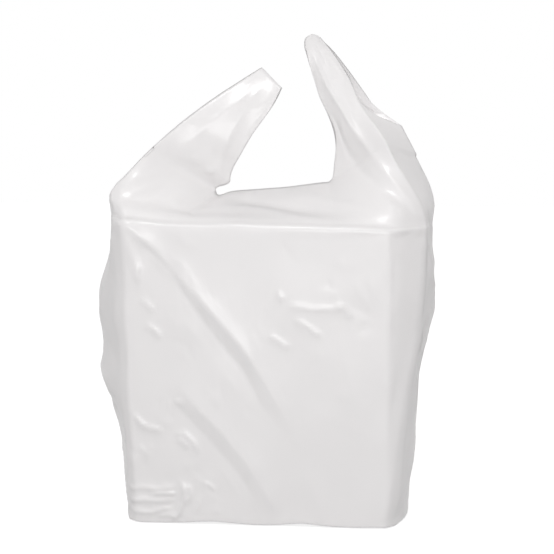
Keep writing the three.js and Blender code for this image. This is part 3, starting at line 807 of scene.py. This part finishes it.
def make_piece(name, vertices, polygons, material):
    mesh = bpy.data.meshes.new(name)
    mesh.from_pydata((np.asarray(vertices) * MM).tolist(), [], [tuple(int(i) for i in p) for p in polygons])
    mesh.validate()
    mesh.materials.append(material)
    mesh.shade_smooth()
    piece = bpy.data.objects.new(name, mesh)
    bpy.context.scene.collection.objects.link(piece)
    return piece


def film_material():
    material = bpy.data.materials.new("white_film")
    material.use_nodes = True
    shader = material.node_tree.nodes["Principled BSDF"]
    shader.inputs["Base Color"].default_value = (0.90, 0.885, 0.885, 1)
    shader.inputs["Roughness"].default_value = 0.4
    shader.inputs["Coat Weight"].default_value = 0.3
    shader.inputs["Coat Roughness"].default_value = 0.16
    nodes, links = material.node_tree.nodes, material.node_tree.links
    place = nodes.new("ShaderNodeTexCoord")
    stretch = nodes.new("ShaderNodeMapping")
    stretch.inputs["Rotation"].default_value = (0, math.radians(38), 0)
    stretch.inputs["Scale"].default_value = (1, 1, 0.4)
    links.new(place.outputs["Object"], stretch.inputs["Vector"])
    fine = nodes.new("ShaderNodeTexNoise")
    fine.noise_type = "RIDGED_MULTIFRACTAL"
    fine.inputs["Scale"].default_value = 34
    fine.inputs["Detail"].default_value = 3
    fine.inputs["Roughness"].default_value = 0.45
    links.new(stretch.outputs["Vector"], fine.inputs["Vector"])
    bump = nodes.new("ShaderNodeBump")
    bump.inputs["Strength"].default_value = 0.35
    bump.inputs["Distance"].default_value = 0.0008
    links.new(fine.outputs["Fac"], bump.inputs["Height"])
    links.new(bump.outputs["Normal"], shader.inputs["Normal"])
    glow = nodes.new("ShaderNodeBsdfTranslucent")
    glow.inputs["Color"].default_value = (0.95, 0.935, 0.935, 1)
    links.new(bump.outputs["Normal"], glow.inputs["Normal"])
    mix = nodes.new("ShaderNodeMixShader")
    mix.inputs[0].default_value = 0.22
    links.new(shader.outputs[0], mix.inputs[1])
    links.new(glow.outputs[0], mix.inputs[2])
    links.new(mix.outputs[0], nodes["Material Output"].inputs["Surface"])
    return material


# The stand-in for the goods: its gap to the film, its chamfers, the height that it starts at, how
# far it stays back at the left and right, and how many levels it is made of
CONTENTS_GAP = 1.2
CONTENTS_CHAMFER = 6.0
CONTENTS_FOOT = 0.8
CONTENTS_LEFT_INSET = 3
CONTENTS_RIGHT_INSET = 4
CONTENTS_LEVELS = 12


def contents_shape():
    """A plain stand-in for what fills the bag: a box with chamfered corners, just inside the film."""
    chamfer = CONTENTS_CHAMFER
    levels = np.linspace(0, 1, CONTENTS_LEVELS)[1:-1] * BODY_HEIGHT
    heights = [CONTENTS_FOOT, *levels, BODY_HEIGHT - chamfer, BODY_HEIGHT - 2 * CONTENTS_GAP]
    sides = ((LEFT_FOLD_REACH, CONTENTS_LEFT_INSET), (RIGHT_FOLD_REACH, CONTENTS_RIGHT_INSET))
    vertices = []
    for height in heights:
        share = height / BODY_HEIGHT
        gap = CONTENTS_GAP + (chamfer if height == heights[-1] else 0)
        y = BODY_DEPTH / 2 - gap
        left, right = (BODY_WIDTH / 2 + min(0, value_at(reach, share)) - gap - inset
                       for reach, inset in sides)
        front = [(-left, chamfer - y), (chamfer - left, -y), (right - chamfer, -y), (right, chamfer - y)]
        outline = front + [(x, -depth) for x, depth in reversed(front)]
        vertices.append(lean(np.array([(x, depth, height) for x, depth in outline], float)))
    vertices = np.vstack(vertices)
    count = len(outline)
    last = len(vertices) - count
    polygons = [tuple(reversed(range(count))), tuple(range(last, last + count))]
    for start in range(0, last, count):
        for i in range(count):
            j = (i + 1) % count
            polygons.append((start + i, start + j, start + count + j, start + count + i))
    return vertices, polygons


def evened(values, rounds=3):
    """Each point's value drawn towards its neighbours' mean, so that nothing follows the rows."""
    pairs = np.vstack([faces[:, [k, (k + 1) % 4]] for k in range(4)])
    pairs = np.unique(np.sort(pairs, axis=1), axis=0)
    count = np.bincount(pairs.ravel(), minlength=len(values))[:, None]
    for _ in range(rounds):
        total = np.zeros_like(values)
        np.add.at(total, pairs[:, 0], values[pairs[:, 1]])
        np.add.at(total, pairs[:, 1], values[pairs[:, 0]])
        values = (values + total / count) / 2
    return values


# How firmly the drape holds the film near its laid shape, from 0 to 1, and how much slack it has
# as a share of the most
HOLD_FRONT, HOLD_BACK, HOLD_BASE, HOLD_SIDE = 0.35, 0.12, 1.0, 0.3
HOLD_SHOULDER, HOLD_EDGE, HOLD_EDGE_REACH = 0.35, 0.75, 12
HOLD_HANDLES_FROM = (MOUTH_UP - 12, MOUTH_UP + 18)
HOLD_FOOT_TO = (1, 10)
SLACK_FRONT, SLACK_BACK, SLACK_SIDE = 0.15, 0.6, 0.8
MOST_SLACK = 0.016
DRAPE_FRAMES = 22
TOUCH_GAP = 0.5 * MM


def hold_levels():
    hold = np.select(on_part, [HOLD_FRONT, HOLD_BACK, HOLD_BASE], HOLD_SIDE)
    hold = np.where((up > BODY_HEIGHT) & (up <= MOUTH_UP), HOLD_SHOULDER, hold)
    hold = np.maximum(hold, HOLD_EDGE * np.exp(-np.abs(up - BODY_HEIGHT) / HOLD_EDGE_REACH))
    hold = np.maximum(hold, smooth_step(up, *HOLD_HANDLES_FROM))
    return np.maximum(hold, 1 - smooth_step(up, *HOLD_FOOT_TO))


def drape(piece):
    """Let the film settle over the contents with a little slack, held near its laid shape."""
    contents = make_piece("contents", *contents_shape(), piece.data.materials[0])
    contents.modifiers.new("hit", "COLLISION")
    contents.collision.thickness_outer = TOUCH_GAP
    contents.collision.cloth_friction = 5
    slack = np.select(on_part[:2], [SLACK_FRONT, SLACK_BACK], SLACK_SIDE)
    for name, values in (("hold", hold_levels()), ("slack", slack)):
        group = piece.vertex_groups.new(name=name)
        levels = np.round(values, 2)
        for level in np.unique(levels):
            group.add([int(i) for i in np.where(levels == level)[0]], float(level), "REPLACE")
    cloth = piece.modifiers.new("drape", "CLOTH")
    settings = cloth.settings
    settings.quality = 5
    settings.mass = 0.0003
    settings.tension_stiffness = settings.compression_stiffness = 40
    settings.shear_stiffness = 20
    settings.bending_stiffness = 0.02
    settings.air_damping = 1
    settings.effector_weights.gravity = 0.15
    settings.vertex_group_mass = "hold"
    settings.pin_stiffness = 1
    settings.vertex_group_shrink = "slack"
    settings.shrink_min = 0
    settings.shrink_max = -MOST_SLACK
    cloth.collision_settings.distance_min = TOUCH_GAP
    cloth.point_cache.frame_end = DRAPE_FRAMES + 1
    scene = bpy.context.scene
    for number in range(1, DRAPE_FRAMES + 1):
        scene.frame_set(number)
    settled = np.empty(3 * len(points), np.float32)
    shape = piece.evaluated_get(bpy.context.evaluated_depsgraph_get())
    shape.data.vertices.foreach_get("co", settled)
    piece.modifiers.remove(cloth)
    piece.vertex_groups.clear()
    scene.frame_set(1)
    bpy.data.objects.remove(contents)
    return points + evened(settled.reshape(-1, 3).astype(float) / MM - points)


FILM_THICKNESS = 0.3 * MM
bag = make_piece("bag_film", points, faces.tolist() + film.seals, film_material())
points = drape(bag)
points = points + film_normals(points, faces) * fine_lift[:, None]
bag.data.vertices.foreach_set("co", (points * MM).ravel())
bag.data.update()
solidify = bag.modifiers.new("film_thickness", "SOLIDIFY")
solidify.thickness = FILM_THICKNESS
solidify.offset = 0
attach(bag, "root")
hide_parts("carrier_bag")

# Camera at the photograph's angle
VIEW_AZIMUTH = math.radians(5)
VIEW_ELEVATION = math.radians(9)
VIEW_DISTANCE = 1.5
VIEW_TARGET = np.array([0.0126, 0, 0.247])
SENSOR = 36.0
FRAME_PIXELS = 554
PIXELS_PER_MM = 0.953

forward = np.array([-math.sin(VIEW_AZIMUTH) * math.cos(VIEW_ELEVATION),
                    math.cos(VIEW_AZIMUTH) * math.cos(VIEW_ELEVATION),
                    -math.sin(VIEW_ELEVATION)])
camera_data = bpy.data.cameras.new("camera")
camera_data.sensor_width = SENSOR
camera_data.lens = PIXELS_PER_MM * VIEW_DISTANCE / MM * SENSOR / FRAME_PIXELS
camera = bpy.data.objects.new("camera", camera_data)
camera.location = VIEW_TARGET - forward * VIEW_DISTANCE
camera.rotation_euler = (math.pi / 2 - VIEW_ELEVATION, 0, VIEW_AZIMUTH)
bpy.context.scene.collection.objects.link(camera)
bpy.context.scene.camera = camera


def area_light(name, place, aim, size, watts):
    data = bpy.data.lights.new(name, "AREA")
    data.shape = "DISK"
    data.size = size
    data.energy = watts
    light = bpy.data.objects.new(name, data)
    light.location = place
    light.rotation_euler = (Vector(aim) - Vector(place)).to_track_quat("-Z", "Y").to_euler()
    bpy.context.scene.collection.objects.link(light)


area_light("key", (-0.1, -1.35, 1.8), (0, 0, 0.22), 0.4, 12)
area_light("fill", (0.2, -2.2, 0.5), (0, 0, 0.25), 0.8, 12)

# Light that the surroundings give the bag, and the floor's own glow where it is seen
WORLD_LIGHT = 0.58
FLOOR_GLOW = 0.74
FLOOR_HALF = 3.0
FLOOR_HEIGHT = -0.0008


def seen_rays(nodes, links):
    """1 for the rays that see the surroundings: camera, glossy and transmission rays."""
    path = nodes.new("ShaderNodeLightPath")
    seen = path.outputs["Is Camera Ray"]
    for kind in ("Is Glossy Ray", "Is Transmission Ray"):
        either = nodes.new("ShaderNodeMath")
        either.operation = "MAXIMUM"
        links.new(seen, either.inputs[0])
        links.new(path.outputs[kind], either.inputs[1])
        seen = either.outputs[0]
    return seen


def white_world():
    """Plain soft light all round, which looks white where it is seen."""
    world = bpy.data.worlds.new("studio")
    world.use_nodes = True
    bpy.context.scene.world = world
    nodes, links = world.node_tree.nodes, world.node_tree.links
    background = nodes["Background"]
    background.inputs["Color"].default_value = (1, 1, 1, 1)
    background.inputs["Strength"].default_value = WORLD_LIGHT
    white = nodes.new("ShaderNodeBackground")
    white.inputs["Color"].default_value = (1, 1, 1, 1)
    white.inputs["Strength"].default_value = 1.0
    mix = nodes.new("ShaderNodeMixShader")
    links.new(seen_rays(nodes, links), mix.inputs[0])
    links.new(background.outputs[0], mix.inputs[1])
    links.new(white.outputs[0], mix.inputs[2])
    links.new(mix.outputs[0], nodes["World Output"].inputs["Surface"])


def floor_material():
    """Pale floor that keeps the bag's shadow, lifted to white where it is seen."""
    material = bpy.data.materials.new("floor")
    material.use_nodes = True
    nodes, links = material.node_tree.nodes, material.node_tree.links
    shader = nodes["Principled BSDF"]
    shader.inputs["Base Color"].default_value = (0.5, 0.5, 0.5, 1)
    shader.inputs["Roughness"].default_value = 0.9
    glow = nodes.new("ShaderNodeEmission")
    glow.inputs["Color"].default_value = (1, 1, 1, 1)
    strength = nodes.new("ShaderNodeMath")
    strength.operation = "MULTIPLY"
    strength.inputs[1].default_value = FLOOR_GLOW
    links.new(seen_rays(nodes, links), strength.inputs[0])
    links.new(strength.outputs[0], glow.inputs["Strength"])
    both = nodes.new("ShaderNodeAddShader")
    links.new(shader.outputs[0], both.inputs[0])
    links.new(glow.outputs[0], both.inputs[1])
    links.new(both.outputs[0], nodes["Material Output"].inputs["Surface"])
    return material


def lay_floor():
    half = FLOOR_HALF
    mesh = bpy.data.meshes.new("floor")
    corners = [(-half, -half, 0), (half, -half, 0), (half, half, 0), (-half, half, 0)]
    mesh.from_pydata(corners, [], [(0, 1, 2, 3)])
    mesh.materials.append(floor_material())
    floor = bpy.data.objects.new("floor", mesh)
    floor.location.z = FLOOR_HEIGHT
    bpy.context.scene.collection.objects.link(floor)


white_world()
lay_floor()

bpy.context.scene.view_settings.view_transform = "Standard"
